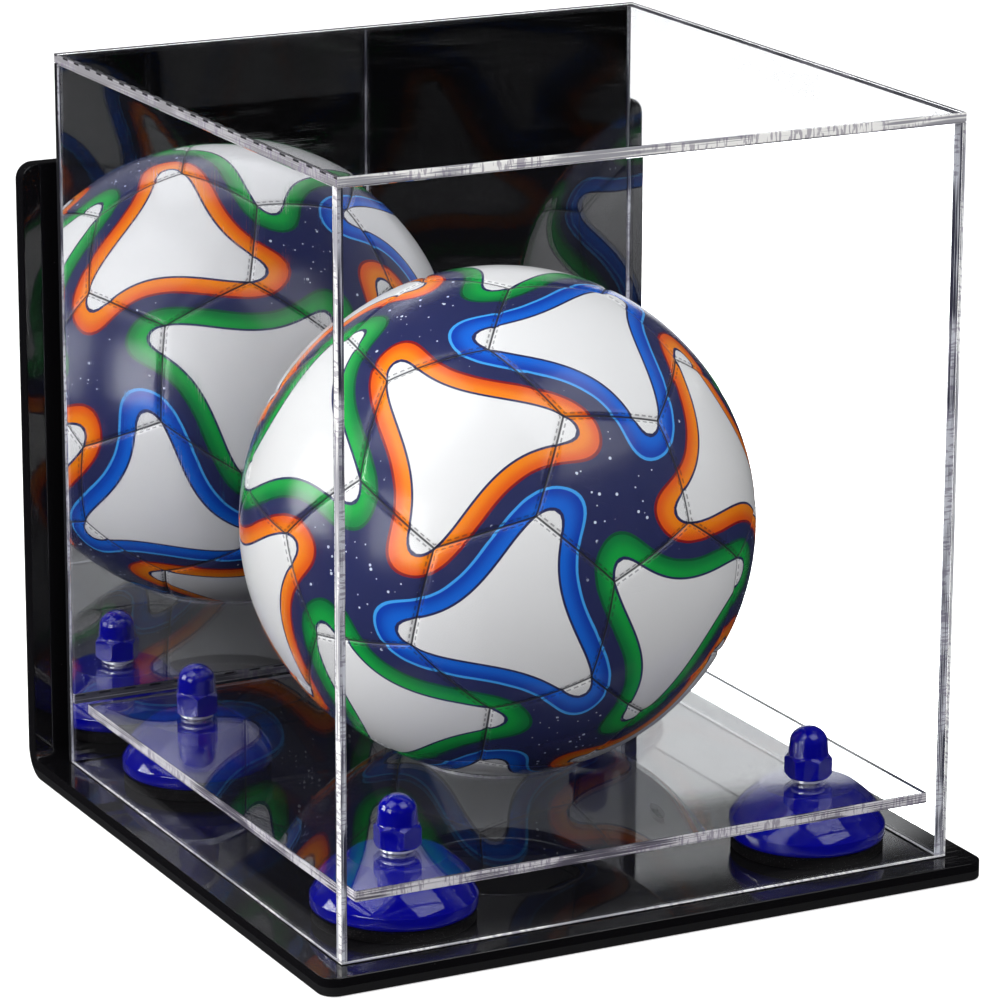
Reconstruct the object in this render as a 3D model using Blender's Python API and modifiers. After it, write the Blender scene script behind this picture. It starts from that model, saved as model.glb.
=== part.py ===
"""Display case for a soccer ball.

A black acrylic sheet, bent once, makes the base and the wall plate behind it. A clear cover
with a mirrored back stands on the base and lifts straight off. Inside it a clear riser plate
stands on four bell-shaped feet, and the ball sits in the round hole in the plate's middle.

Metres, +Z up, front towards -Y. The origin is under the middle of the whole case, on the
plane that the base stands on.
"""
import math

import bmesh
import bpy
from mathutils import Euler, Vector

# Gaps between pieces that touch on the real case
REST_GAP = 0.0003
BOND_GAP = 0.0002
BOLT_CLEARANCE = 0.0004
CUT_OVERRUN = 0.002

# Black sheet: base and wall plate in one
SHEET_THICKNESS = 0.008
BASE_SIDE_MARGIN = 0.013
BASE_FRONT_MARGIN = 0.012
WALL_GAP = 0.008
WALL_PLATE_HEIGHT = 0.282
BEND_INNER_RADIUS = 0.005
SHEET_CORNER_RADIUS = 0.0075
SHEET_EDGE_RADIUS = 0.0006
SHEET_EDGE_STEPS = 2
SHEET_EDGE_ANGLE_DEG = 60.0
BEND_STEPS = 6
CORNER_STEPS = 5

# Clear cover with a mirrored back panel
COVER_WIDTH = 0.286
COVER_DEPTH = 0.286
COVER_HEIGHT = 0.324
COVER_WALL = 0.004
MIRROR_THICKNESS = 0.003
PANEL_EDGE_RADIUS = 0.0003
PANEL_EDGE_STEPS = 1

# Riser plate
RISER_THICKNESS = 0.0047
RISER_SIDE_GAP = 0.004
RISER_FRONT_GAP = 0.001
RISER_BACK_GAP = 0.008
SEAT_HOLE_RADIUS = 0.0384
SEAT_HOLE_STEPS = 48
FOOT_INSET = 0.037

# Feet under the riser plate, from the base up
PAD_RADIUS = 0.0328
PAD_THICKNESS = 0.0044
PAD_EDGE_RADIUS = 0.0006
PAD_EDGE_STEPS = 1
BELL_RADIUS = 0.0335
BELL_HEIGHT = 0.0194
BELL_TOP_RADIUS = 0.0212
BELL_LIP_HEIGHT = 0.0062
BELL_LIP_RADIUS = 0.0024
BELL_TOP_EDGE_RADIUS = 0.0008
BELL_TOP_EDGE_STEPS = 2
BELL_TOP_EDGE_END_DEG = 35.0
BELL_POCKET_WALL = 0.007
SHOULDER_RADIUS_SHARE = 0.68
SHOULDER_HEIGHT_SHARE = 0.53
SHOULDER_STEPS = 6
LIP_STEPS = 3

BOLT_RADIUS = 0.004
BOLT_HEAD_RADIUS = 0.0075
BOLT_HEAD_HEIGHT = 0.0045
BOLT_HEAD_EDGE = 0.0008
BOLT_HEAD_EDGE_STEPS = 1

WASHER_RADIUS = 0.0074
WASHER_THICKNESS = 0.0015

# Acorn nut above the plate
NUT_ACROSS_FLATS = 0.0178
NUT_HEX_HEIGHT = 0.0094
NUT_CHAMFER = 0.0014
NUT_DOME_RADIUS = 0.0086
NUT_DOME_TOP_RADIUS = 0.0082
NUT_DOME_STRAIGHT = 0.0058
NUT_HEIGHT = 0.0222
NUT_BORE_DEPTH = 0.0130
NUT_DOME_STEPS = 4
HEXAGON_SIDES = 6
NUT_TURNS_DEG = (20.0, 26.0, 8.0, 41.0)

# Ball
BALL_RADIUS = 0.110
BALL_PANEL_THICKNESS = 0.0035
BALL_SEAM_WIDTH = 0.0024
BALL_SEAM_DEPTH = 0.0010
BALL_PANEL_STEPS = 3
BLADDER_CLEARANCE = 0.0007
BLADDER_THICKNESS = 0.0015
BLADDER_ARC_STEPS = 11
BALL_TURN_DEG = (142.0, 17.0, 64.0)
VALVE_RADIUS = 0.0042
VALVE_STEM_RADIUS = 0.0030
VALVE_STEM_LENGTH = 0.010
VALVE_NEEDLE_RADIUS = 0.0010
VALVE_NEEDLE_DEPTH = 0.007
VALVE_CLEARANCE = 0.0003

ROUND_STEPS = 24
SMALL_ROUND_STEPS = 16
ROUND_PROFILE = 0.5
SMOOTH_ANGLE_DEG = 35.0
MERGE_DISTANCE = 0.000001

# Heights, from the ground up
BASE_TOP = SHEET_THICKNESS
COVER_BOTTOM = BASE_TOP + REST_GAP
COVER_TOP = BASE_TOP + COVER_HEIGHT
PANEL_TOP = COVER_TOP - COVER_WALL - BOND_GAP
PAD_BOTTOM = BASE_TOP + REST_GAP
BELL_BOTTOM = PAD_BOTTOM + PAD_THICKNESS + REST_GAP
RISER_BOTTOM = BELL_BOTTOM + BELL_HEIGHT + REST_GAP
RISER_TOP = RISER_BOTTOM + RISER_THICKNESS
WASHER_BOTTOM = RISER_TOP + REST_GAP
NUT_BOTTOM = WASHER_BOTTOM + WASHER_THICKNESS + REST_GAP
BELL_POCKET_TOP = BELL_BOTTOM + BELL_HEIGHT - BELL_POCKET_WALL
BOLT_HEAD_TOP = BELL_POCKET_TOP - REST_GAP
BALL_SEAT_RADIUS = SEAT_HOLE_RADIUS * math.cos(math.pi / SEAT_HOLE_STEPS)
BALL_CENTRE_HEIGHT = RISER_TOP + REST_GAP + math.sqrt(BALL_RADIUS ** 2 - BALL_SEAT_RADIUS ** 2)

# Depths, front to back
CASE_DEPTH = BASE_FRONT_MARGIN + COVER_DEPTH + WALL_GAP + SHEET_THICKNESS
BASE_FRONT = -CASE_DEPTH / 2
WALL_BACK = CASE_DEPTH / 2
COVER_FRONT = BASE_FRONT + BASE_FRONT_MARGIN
COVER_BACK = COVER_FRONT + COVER_DEPTH
FRONT_INSIDE = COVER_FRONT + COVER_WALL
MIRROR_FACE = COVER_BACK - MIRROR_THICKNESS
RISER_FRONT = FRONT_INSIDE + RISER_FRONT_GAP
RISER_BACK = MIRROR_FACE - RISER_BACK_GAP
RISER_MIDDLE = (RISER_FRONT + RISER_BACK) / 2

# Widths, left to right
COVER_SIDE = COVER_WIDTH / 2
BASE_SIDE = COVER_SIDE + BASE_SIDE_MARGIN
RISER_SIDE = COVER_SIDE - COVER_WALL - RISER_SIDE_GAP

FOOT_PLACES = {
    "front_left": (FOOT_INSET - RISER_SIDE, RISER_FRONT + FOOT_INSET),
    "front_right": (RISER_SIDE - FOOT_INSET, RISER_FRONT + FOOT_INSET),
    "back_left": (FOOT_INSET - RISER_SIDE, RISER_BACK - FOOT_INSET),
    "back_right": (RISER_SIDE - FOOT_INSET, RISER_BACK - FOOT_INSET),
}


def clear_scene():
    for thing in list(bpy.data.objects):
        bpy.data.objects.remove(thing, do_unlink=True)


def new_collection(name):
    collection = bpy.data.collections.new(name)
    bpy.context.scene.collection.children.link(collection)
    return collection


def new_material(name, colour, roughness, metallic=0.0, transmission=0.0):
    material = bpy.data.materials.new(name)
    material.use_nodes = True
    shader = material.node_tree.nodes["Principled BSDF"]
    shader.inputs["Base Color"].default_value = (*colour, 1.0)
    shader.inputs["Roughness"].default_value = roughness
    shader.inputs["Metallic"].default_value = metallic
    shader.inputs["Transmission Weight"].default_value = transmission
    return material


def new_carrier(name, place, turn=(0.0, 0.0, 0.0)):
    """An empty that carries the pieces that move together."""
    empty = bpy.data.objects.new(name, None)
    empty.location = place
    empty.rotation_euler = turn
    PARTS.objects.link(empty)
    return empty


def new_object(name, mesh, material=None, carrier=None, place=(0.0, 0.0, 0.0)):
    """A part whose mesh is centred on its own place, carried by an empty or standing alone."""
    piece = bpy.data.objects.new(name, mesh)
    piece.location = place
    if material:
        mesh.materials.clear()
        mesh.materials.append(material)
    if carrier:
        piece.parent = carrier
    PARTS.objects.link(piece)
    return piece


def shade_round(mesh):
    mesh.shade_smooth()
    mesh.set_sharp_from_angle(angle=math.radians(SMOOTH_ANGLE_DEG))


def finish_mesh(piece, name):
    """Apply a working object's modifiers and give back its mesh, without the object."""
    bpy.context.view_layer.update()
    evaluated = piece.evaluated_get(bpy.context.evaluated_depsgraph_get())
    mesh = bpy.data.meshes.new_from_object(evaluated)
    mesh.name = name
    bpy.data.objects.remove(piece, do_unlink=True)
    shade_round(mesh)
    return mesh


def working_object(mesh):
    piece = bpy.data.objects.new("working", mesh)
    WORKBENCH.objects.link(piece)
    return piece


def block_mesh(name, size, edge_radius):
    """A sheet or block centred on its own middle, with its edges eased."""
    mesh = bpy.data.meshes.new(name)
    bm = bmesh.new()
    bmesh.ops.create_cube(bm, size=1.0)
    bmesh.ops.scale(bm, vec=Vector(size), verts=bm.verts)
    bm.to_mesh(mesh)
    bm.free()
    piece = working_object(mesh)
    bevel = piece.modifiers.new("eased edges", "BEVEL")
    bevel.width = edge_radius
    bevel.segments = PANEL_EDGE_STEPS
    return finish_mesh(piece, name)


def add_block(name, low, high, material, carrier, edge_radius):
    size = Vector(high) - Vector(low)
    middle = (Vector(high) + Vector(low)) / 2
    mesh = block_mesh(name, size, edge_radius)
    return new_object(name, mesh, material, carrier, middle - carrier.location)


def turned_mesh(name, profile, steps, closed=False):
    """Turn a profile of (radius, height) points about Z. Its outer side runs top to bottom."""
    mesh = bpy.data.meshes.new(name)
    bm = bmesh.new()
    verts = [bm.verts.new((radius, 0.0, height)) for radius, height in profile]
    for first, second in zip(verts, verts[1:]):
        bm.edges.new((first, second))
    if closed:
        bm.edges.new((verts[-1], verts[0]))
    bm.to_mesh(mesh)
    bm.free()
    piece = working_object(mesh)
    screw = piece.modifiers.new("turning", "SCREW")
    screw.steps = steps
    screw.render_steps = steps
    screw.use_merge_vertices = True
    screw.merge_threshold = MERGE_DISTANCE
    return finish_mesh(piece, name)


def arc(centre, radius, start_deg, end_deg, steps):
    """Points of an arc in the profile plane, both ends included."""
    points = []
    for index in range(steps + 1):
        angle = math.radians(start_deg + (end_deg - start_deg) * index / steps)
        points.append((centre[0] + radius * math.cos(angle), centre[1] + radius * math.sin(angle)))
    return points


def cut_with(piece, cutter, operation="DIFFERENCE"):
    modifier = piece.modifiers.new(cutter.name, "BOOLEAN")
    modifier.operation = operation
    modifier.object = cutter
    modifier.solver = "EXACT"


def new_cutter(name, mesh, place=(0.0, 0.0, 0.0)):
    cutter = bpy.data.objects.new(name, mesh)
    cutter.location = place
    cutter.hide_render = True
    cutter.display_type = "WIRE"
    CUTTERS.objects.link(cutter)
    return cutter


def round_cutter_mesh(name, radius, bottom, top, steps):
    return turned_mesh(name, [(0.0, top), (radius, top), (radius, bottom), (0.0, bottom)], steps)


def bent_sheet_mesh():
    """The black sheet: a flat base, one bend, and the upright wall plate."""
    outer_radius = BEND_INNER_RADIUS + SHEET_THICKNESS
    bend_centre = (WALL_BACK - outer_radius, outer_radius)
    path = [(BASE_FRONT, 0.0)]
    path += arc(bend_centre, outer_radius, -90.0, 0.0, BEND_STEPS)
    path += [(WALL_BACK, WALL_PLATE_HEIGHT)]
    mesh = bpy.data.meshes.new("wall_base")
    bm = bmesh.new()
    verts = [bm.verts.new((-BASE_SIDE, y, z)) for y, z in path]
    edges = [bm.edges.new(pair) for pair in zip(verts, verts[1:])]
    swept = bmesh.ops.extrude_edge_only(bm, edges=edges)["geom"]
    moved = [item for item in swept if isinstance(item, bmesh.types.BMVert)]
    bmesh.ops.translate(bm, vec=(2 * BASE_SIDE, 0.0, 0.0), verts=moved)
    bmesh.ops.recalc_face_normals(bm, faces=bm.faces)
    ends = (BASE_FRONT, WALL_PLATE_HEIGHT)
    corners = [v for v in bm.verts if v.co.y <= ends[0] or v.co.z >= ends[1]]
    bmesh.ops.bevel(bm, geom=corners, offset=SHEET_CORNER_RADIUS, offset_type="OFFSET",
                    segments=CORNER_STEPS, profile=ROUND_PROFILE, affect="VERTICES")
    base_face = min(bm.faces, key=lambda face: face.calc_center_median().z)
    if base_face.normal.z > 0:
        bmesh.ops.reverse_faces(bm, faces=bm.faces)
    bm.to_mesh(mesh)
    bm.free()
    piece = working_object(mesh)
    solidify = piece.modifiers.new("sheet", "SOLIDIFY")
    solidify.thickness = SHEET_THICKNESS
    solidify.offset = -1.0
    solidify.use_even_offset = True
    bevel = piece.modifiers.new("eased edges", "BEVEL")
    bevel.width = SHEET_EDGE_RADIUS
    bevel.segments = SHEET_EDGE_STEPS
    bevel.limit_method = "ANGLE"
    bevel.angle_limit = math.radians(SHEET_EDGE_ANGLE_DEG)
    return finish_mesh(piece, "wall_base")


def make_base():
    carrier = new_carrier("base", (0.0, 0.0, 0.0))
    new_object("wall_base", bent_sheet_mesh(), BLACK_ACRYLIC, carrier)


def make_cover():
    carrier = new_carrier("cover", (0.0, (COVER_FRONT + COVER_BACK) / 2, COVER_BOTTOM))
    side_inside = COVER_SIDE - COVER_WALL
    add_block("cover_front", (-COVER_SIDE, COVER_FRONT, COVER_BOTTOM),
              (COVER_SIDE, FRONT_INSIDE, PANEL_TOP), CLEAR_ACRYLIC, carrier, PANEL_EDGE_RADIUS)
    side_front = FRONT_INSIDE + BOND_GAP
    side_back = MIRROR_FACE - BOND_GAP
    for name, low, high in (("cover_left", -COVER_SIDE, -side_inside),
                            ("cover_right", side_inside, COVER_SIDE)):
        add_block(name, (low, side_front, COVER_BOTTOM), (high, side_back, PANEL_TOP),
                  CLEAR_ACRYLIC, carrier, PANEL_EDGE_RADIUS)
    add_block("cover_top", (-COVER_SIDE, COVER_FRONT, COVER_TOP - COVER_WALL),
              (COVER_SIDE, COVER_BACK, COVER_TOP), CLEAR_ACRYLIC, carrier, PANEL_EDGE_RADIUS)
    add_block("mirror_back", (-COVER_SIDE, MIRROR_FACE, COVER_BOTTOM),
              (COVER_SIDE, COVER_BACK, PANEL_TOP), MIRROR, carrier, PANEL_EDGE_RADIUS)


def riser_plate_mesh():
    size = (2 * RISER_SIDE, RISER_BACK - RISER_FRONT, RISER_THICKNESS)
    piece = working_object(block_mesh("riser_plate", size, PANEL_EDGE_RADIUS))
    low = -RISER_THICKNESS / 2 - CUT_OVERRUN
    high = RISER_THICKNESS / 2 + CUT_OVERRUN
    seat = round_cutter_mesh("seat_hole", SEAT_HOLE_RADIUS, low, high, SEAT_HOLE_STEPS)
    cut_with(piece, new_cutter("seat_hole", seat))
    bolt_hole = round_cutter_mesh("plate_bolt_hole", BOLT_RADIUS + BOLT_CLEARANCE, low, high,
                                  SMALL_ROUND_STEPS)
    for corner, (x, y) in FOOT_PLACES.items():
        place = (x, y - RISER_MIDDLE, 0.0)
        cut_with(piece, new_cutter("bolt_hole_" + corner, bolt_hole, place))
    return finish_mesh(piece, "riser_plate")


def bell_mesh():
    """Bell-shaped foot: rounded lip, full shoulder, flat top, and a pocket for the bolt head."""
    lip = arc((BELL_RADIUS - BELL_LIP_RADIUS, BELL_LIP_RADIUS), BELL_LIP_RADIUS,
              0.0, -90.0, LIP_STEPS)
    top_edge = arc((BELL_TOP_RADIUS - BELL_TOP_EDGE_RADIUS, BELL_HEIGHT - BELL_TOP_EDGE_RADIUS),
                   BELL_TOP_EDGE_RADIUS, 90.0, BELL_TOP_EDGE_END_DEG, BELL_TOP_EDGE_STEPS)
    start = Vector(top_edge[-1])
    end = Vector((BELL_RADIUS, BELL_LIP_HEIGHT))
    bulge = Vector((start.x + (end.x - start.x) * SHOULDER_RADIUS_SHARE,
                    end.y + (start.y - end.y) * SHOULDER_HEIGHT_SHARE))
    shoulder = []
    for index in range(1, SHOULDER_STEPS + 1):
        t = index / SHOULDER_STEPS
        point = start * (1 - t) ** 2 + bulge * (2 * t * (1 - t)) + end * t ** 2
        shoulder.append((point.x, point.y))
    shank = BOLT_RADIUS + BOLT_CLEARANCE
    pocket = BOLT_HEAD_RADIUS + BOLT_CLEARANCE
    pocket_top = BELL_HEIGHT - BELL_POCKET_WALL
    profile = [(shank, BELL_HEIGHT)] + top_edge + shoulder + lip
    profile += [(pocket, 0.0), (pocket, pocket_top), (shank, pocket_top)]
    return turned_mesh("foot_bell", profile, ROUND_STEPS, closed=True)


def pad_mesh():
    """Foam disc under a bell, with its two rims eased."""
    low_rim = arc((PAD_RADIUS - PAD_EDGE_RADIUS, PAD_EDGE_RADIUS), PAD_EDGE_RADIUS, 0.0, -90.0,
                  PAD_EDGE_STEPS)
    high_rim = arc((PAD_RADIUS - PAD_EDGE_RADIUS, PAD_THICKNESS - PAD_EDGE_RADIUS),
                   PAD_EDGE_RADIUS, 90.0, 0.0, PAD_EDGE_STEPS)
    profile = [(0.0, PAD_THICKNESS)] + high_rim + low_rim + [(0.0, 0.0)]
    return turned_mesh("foot_pad", profile, ROUND_STEPS)


def bolt_mesh():
    """Round-headed bolt, its origin at the underside of the head's seat."""
    tip = NUT_BOTTOM + NUT_BORE_DEPTH - REST_GAP - BOLT_HEAD_TOP
    rim = arc((BOLT_HEAD_RADIUS - BOLT_HEAD_EDGE, BOLT_HEAD_EDGE - BOLT_HEAD_HEIGHT),
              BOLT_HEAD_EDGE, 0.0, -90.0, BOLT_HEAD_EDGE_STEPS)
    profile = [(0.0, tip), (BOLT_RADIUS, tip), (BOLT_RADIUS, 0.0), (BOLT_HEAD_RADIUS, 0.0)]
    profile += rim + [(0.0, -BOLT_HEAD_HEIGHT)]
    return turned_mesh("foot_bolt", profile, SMALL_ROUND_STEPS)


def washer_mesh():
    inner = BOLT_RADIUS + BOLT_CLEARANCE
    profile = [(inner, WASHER_THICKNESS), (WASHER_RADIUS, WASHER_THICKNESS),
               (WASHER_RADIUS, 0.0), (inner, 0.0)]
    return turned_mesh("foot_washer", profile, SMALL_ROUND_STEPS, closed=True)


def nut_mesh():
    """Acorn nut: chamfered hexagon, domed cap and a blind bore for the bolt."""
    flat = NUT_ACROSS_FLATS / 2
    corner = flat / math.cos(math.pi / HEXAGON_SIDES)
    hexagon = turned_mesh("hexagon", [(0.0, NUT_HEX_HEIGHT), (corner, NUT_HEX_HEIGHT),
                                      (corner, 0.0), (0.0, 0.0)], HEXAGON_SIDES)
    piece = working_object(hexagon)
    reach = corner + CUT_OVERRUN
    drop = NUT_CHAMFER + CUT_OVERRUN
    envelope = [(0.0, NUT_HEX_HEIGHT + CUT_OVERRUN), (flat, NUT_HEX_HEIGHT + CUT_OVERRUN),
                (flat, NUT_HEX_HEIGHT), (reach, NUT_HEX_HEIGHT - drop), (reach, drop),
                (flat, 0.0), (flat, -CUT_OVERRUN), (0.0, -CUT_OVERRUN)]
    chamfers = turned_mesh("nut_chamfers", envelope, SMALL_ROUND_STEPS)
    cut_with(piece, new_cutter("nut_chamfers", chamfers), "INTERSECT")
    shoulder_height = NUT_HEX_HEIGHT + NUT_DOME_STRAIGHT
    cap_height = NUT_HEIGHT - shoulder_height
    dome = [(0.0, NUT_HEIGHT)]
    for index in range(1, NUT_DOME_STEPS + 1):
        angle = math.pi / 2 * index / NUT_DOME_STEPS
        dome.append((NUT_DOME_TOP_RADIUS * math.sin(angle),
                     shoulder_height + cap_height * math.cos(angle)))
    dome += [(NUT_DOME_RADIUS, NUT_HEX_HEIGHT), (NUT_DOME_RADIUS, NUT_HEX_HEIGHT / 2),
             (0.0, NUT_HEX_HEIGHT / 2)]
    cut_with(piece, new_cutter("nut_dome", turned_mesh("nut_dome", dome, SMALL_ROUND_STEPS)),
             "UNION")
    bore = round_cutter_mesh("nut_bore", BOLT_RADIUS + BOLT_CLEARANCE, -CUT_OVERRUN,
                             NUT_BORE_DEPTH, SMALL_ROUND_STEPS)
    cut_with(piece, new_cutter("nut_bore", bore))
    return finish_mesh(piece, "foot_nut")


def make_riser():
    carrier = new_carrier("riser", (0.0, RISER_MIDDLE, PAD_BOTTOM))
    plate_height = (RISER_BOTTOM + RISER_TOP) / 2 - PAD_BOTTOM
    new_object("riser_plate", riser_plate_mesh(), CLEAR_ACRYLIC, carrier, (0.0, 0.0, plate_height))
    pieces = (("foot_pad", pad_mesh(), BLACK_FOAM, PAD_BOTTOM),
              ("foot_bell", bell_mesh(), BLUE_GLOSS, BELL_BOTTOM),
              ("foot_bolt", bolt_mesh(), STEEL, BOLT_HEAD_TOP),
              ("foot_washer", washer_mesh(), STEEL, WASHER_BOTTOM),
              ("foot_nut", nut_mesh(), BLUE_GLOSS, NUT_BOTTOM))
    for (corner, (x, y)), turn in zip(FOOT_PLACES.items(), NUT_TURNS_DEG):
        for name, mesh, material, height in pieces:
            place = (x, y - RISER_MIDDLE, height - PAD_BOTTOM)
            piece = new_object(name + "_" + corner, mesh, material, carrier, place)
            piece.rotation_euler.z = math.radians(turn)


def panelled_ball(bm):
    """A ball of twelve five-sided and twenty six-sided panels, a six-sided one at the top."""
    bmesh.ops.create_icosphere(bm, subdivisions=1, radius=BALL_RADIUS)
    third = bm.edges[:][0].calc_length() / 3
    bmesh.ops.bevel(bm, geom=bm.verts[:], offset=third, offset_type="OFFSET", segments=1,
                    affect="VERTICES")
    top = max((face for face in bm.faces if len(face.verts) == 6),
              key=lambda face: face.calc_center_median().z)
    level = top.calc_center_median().rotation_difference(Vector((0.0, 0.0, 1.0)))
    bmesh.ops.rotate(bm, matrix=level.to_matrix(), verts=bm.verts)


def sew_seams(bm, panel_layer):
    """Ring every panel with a narrow strip that dips to the seam."""
    seam_verts = {vert for edge in bm.edges for vert in edge.verts
                  if len({face[panel_layer] for face in edge.link_faces}) > 1}
    for number in sorted({face[panel_layer] for face in bm.faces}):
        panel = [face for face in bm.faces if face[panel_layer] == number]
        bmesh.ops.inset_region(bm, faces=panel, thickness=BALL_SEAM_WIDTH / 2,
                               use_boundary=True, use_even_offset=True)
    for vert in bm.verts:
        radius = BALL_RADIUS - BALL_SEAM_DEPTH if vert in seam_verts else BALL_RADIUS
        vert.co = vert.co.normalized() * radius


def casing_mesh():
    """The sewn casing: a hollow ball of panels with sunken seams and a hole for the valve."""
    mesh = bpy.data.meshes.new("ball_casing")
    bm = bmesh.new()
    panelled_ball(bm)
    panel_layer = bm.faces.layers.int.new("panel")
    for number, face in enumerate(bm.faces, start=1):
        face[panel_layer] = number
    bmesh.ops.poke(bm, faces=bm.faces)
    bmesh.ops.subdivide_edges(bm, edges=bm.edges, cuts=BALL_PANEL_STEPS - 1,
                              use_grid_fill=True)
    for vert in bm.verts:
        vert.co = vert.co.normalized() * BALL_RADIUS
    sew_seams(bm, panel_layer)
    bmesh.ops.recalc_face_normals(bm, faces=bm.faces)
    bm.to_mesh(mesh)
    bm.free()
    piece = working_object(mesh)
    inside = arc((0.0, 0.0), BALL_RADIUS - BALL_PANEL_THICKNESS, 90.0, -90.0, BLADDER_ARC_STEPS)
    cut_with(piece, new_cutter("ball_inside", turned_mesh("ball_inside", inside, ROUND_STEPS)))
    hole = round_cutter_mesh("valve_hole", VALVE_RADIUS + VALVE_CLEARANCE,
                             BALL_RADIUS - BALL_PANEL_THICKNESS - CUT_OVERRUN,
                             BALL_RADIUS + CUT_OVERRUN, SMALL_ROUND_STEPS)
    cut_with(piece, new_cutter("valve_hole", hole))
    return finish_mesh(piece, "ball_casing")


def bladder_mesh():
    """Air bladder: a thin round skin, open where the valve goes through it."""
    outer = BALL_RADIUS - BALL_PANEL_THICKNESS - BLADDER_CLEARANCE
    inner = outer - BLADDER_THICKNESS
    hole = VALVE_STEM_RADIUS + VALVE_CLEARANCE
    outer_start = 90.0 - math.degrees(math.asin(hole / outer))
    inner_start = 90.0 - math.degrees(math.asin(hole / inner))
    profile = arc((0.0, 0.0), outer, outer_start, -90.0, BLADDER_ARC_STEPS)
    profile += arc((0.0, 0.0), inner, -90.0, inner_start, BLADDER_ARC_STEPS)
    return turned_mesh("ball_bladder", profile, ROUND_STEPS, closed=True)


def valve_mesh():
    """Rubber valve: a round head flush with its panel, a stem into the bladder, a needle hole."""
    head_bottom = BALL_RADIUS - BALL_PANEL_THICKNESS - BLADDER_CLEARANCE + VALVE_CLEARANCE
    stem_bottom = head_bottom - VALVE_STEM_LENGTH
    needle_bottom = BALL_RADIUS - VALVE_NEEDLE_DEPTH
    profile = [(VALVE_NEEDLE_RADIUS, BALL_RADIUS), (VALVE_RADIUS, BALL_RADIUS),
               (VALVE_RADIUS, head_bottom), (VALVE_STEM_RADIUS, head_bottom),
               (VALVE_STEM_RADIUS, stem_bottom), (0.0, stem_bottom)]
    profile = [(0.0, needle_bottom), (VALVE_NEEDLE_RADIUS, needle_bottom)] + profile
    return turned_mesh("ball_valve", profile, SMALL_ROUND_STEPS)


def make_ball():
    turn = Euler([math.radians(angle) for angle in BALL_TURN_DEG])
    carrier = new_carrier("ball", (0.0, RISER_MIDDLE, BALL_CENTRE_HEIGHT), turn)
    new_object("ball_casing", casing_mesh(), WHITE_PANEL, carrier)
    new_object("ball_bladder", bladder_mesh(), BLACK_RUBBER, carrier)
    new_object("ball_valve", valve_mesh(), BLACK_RUBBER, carrier)


clear_scene()
PARTS = new_collection("soccer_ball_display_case")
CUTTERS = new_collection("cutters")
WORKBENCH = new_collection("workbench")

BLACK_ACRYLIC = new_material("black acrylic", (0.006, 0.006, 0.007), 0.06)
CLEAR_ACRYLIC = new_material("clear acrylic", (0.96, 0.98, 0.98), 0.02, transmission=1.0)
MIRROR = new_material("silvered mirror", (0.92, 0.92, 0.93), 0.01, metallic=1.0)
BLACK_FOAM = new_material("black foam", (0.02, 0.015, 0.015), 0.95)
BLUE_GLOSS = new_material("blue gloss", (0.0, 0.0, 0.4), 0.12)
STEEL = new_material("bright steel", (0.75, 0.75, 0.76), 0.2, metallic=1.0)
WHITE_PANEL = new_material("white panel", (0.85, 0.85, 0.84), 0.3)
BLACK_RUBBER = new_material("black rubber", (0.02, 0.02, 0.02), 0.6)

make_base()
make_cover()
make_riser()
make_ball()

for cutter in list(CUTTERS.objects):
    bpy.data.objects.remove(cutter, do_unlink=True)
for emptied in (CUTTERS, WORKBENCH):
    bpy.data.collections.remove(emptied)
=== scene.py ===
"""Looks of the soccer ball display case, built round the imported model, in metres with +Z up."""
import math

import bpy
import numpy as np
from mathutils import Euler, Matrix, Vector


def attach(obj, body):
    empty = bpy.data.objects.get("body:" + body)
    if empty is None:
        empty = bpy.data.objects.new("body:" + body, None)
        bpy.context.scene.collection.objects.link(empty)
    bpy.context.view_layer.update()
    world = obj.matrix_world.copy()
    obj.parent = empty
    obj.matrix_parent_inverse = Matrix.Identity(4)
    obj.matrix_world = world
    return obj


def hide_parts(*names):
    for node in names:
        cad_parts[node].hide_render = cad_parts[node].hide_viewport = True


MM = 0.001
NEAR = 1e-5

# Bent sheet: base and wall plate
SHEET = 0.008
BASE_SIDE = 0.156
BASE_FRONT = -0.157
WALL_BACK = 0.157
WALL_TOP = 0.282
BEND_OUTER = 0.013
SHEET_CORNER = 0.0075
SHEET_EDGE = 0.0006

# Cover and mirror
COVER_SIDE = 0.143
COVER_FRONT = -0.145
COVER_BACK = 0.141
COVER_BOTTOM = 0.0083
COVER_TOP = 0.332
WALL = 0.004
MIRROR = 0.003
BOND_GAP = 0.0002
PANEL_EDGE = 0.00035

# Riser plate
RISER_SIDE = 0.135
RISER_FRONT = -0.140
RISER_BACK = 0.130
RISER_BOTTOM = 0.0327
RISER_TOP = 0.0374
RISER_EDGE = 0.0003
SEAT_RADIUS = 0.0384
SEAT_FLUTES = 96
SEAT_FLUTE_DEPTH = 0.00022
BOLT_HOLE_RADIUS = 0.0043
CUTTER_HEIGHT = 0.02

# Feet: place and turn of each, and the height at which each piece starts
FOOT_PLACES = {
    "front_left": (-0.098, -0.103, 20.0),
    "front_right": (0.098, -0.103, 26.0),
    "back_left": (-0.098, 0.093, 8.0),
    "back_right": (0.098, 0.093, 41.0),
}
PAD_BOTTOM = 0.0083
BELL_BOTTOM = 0.0130
WASHER_BOTTOM = 0.0377
NUT_BOTTOM = 0.0395

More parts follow.
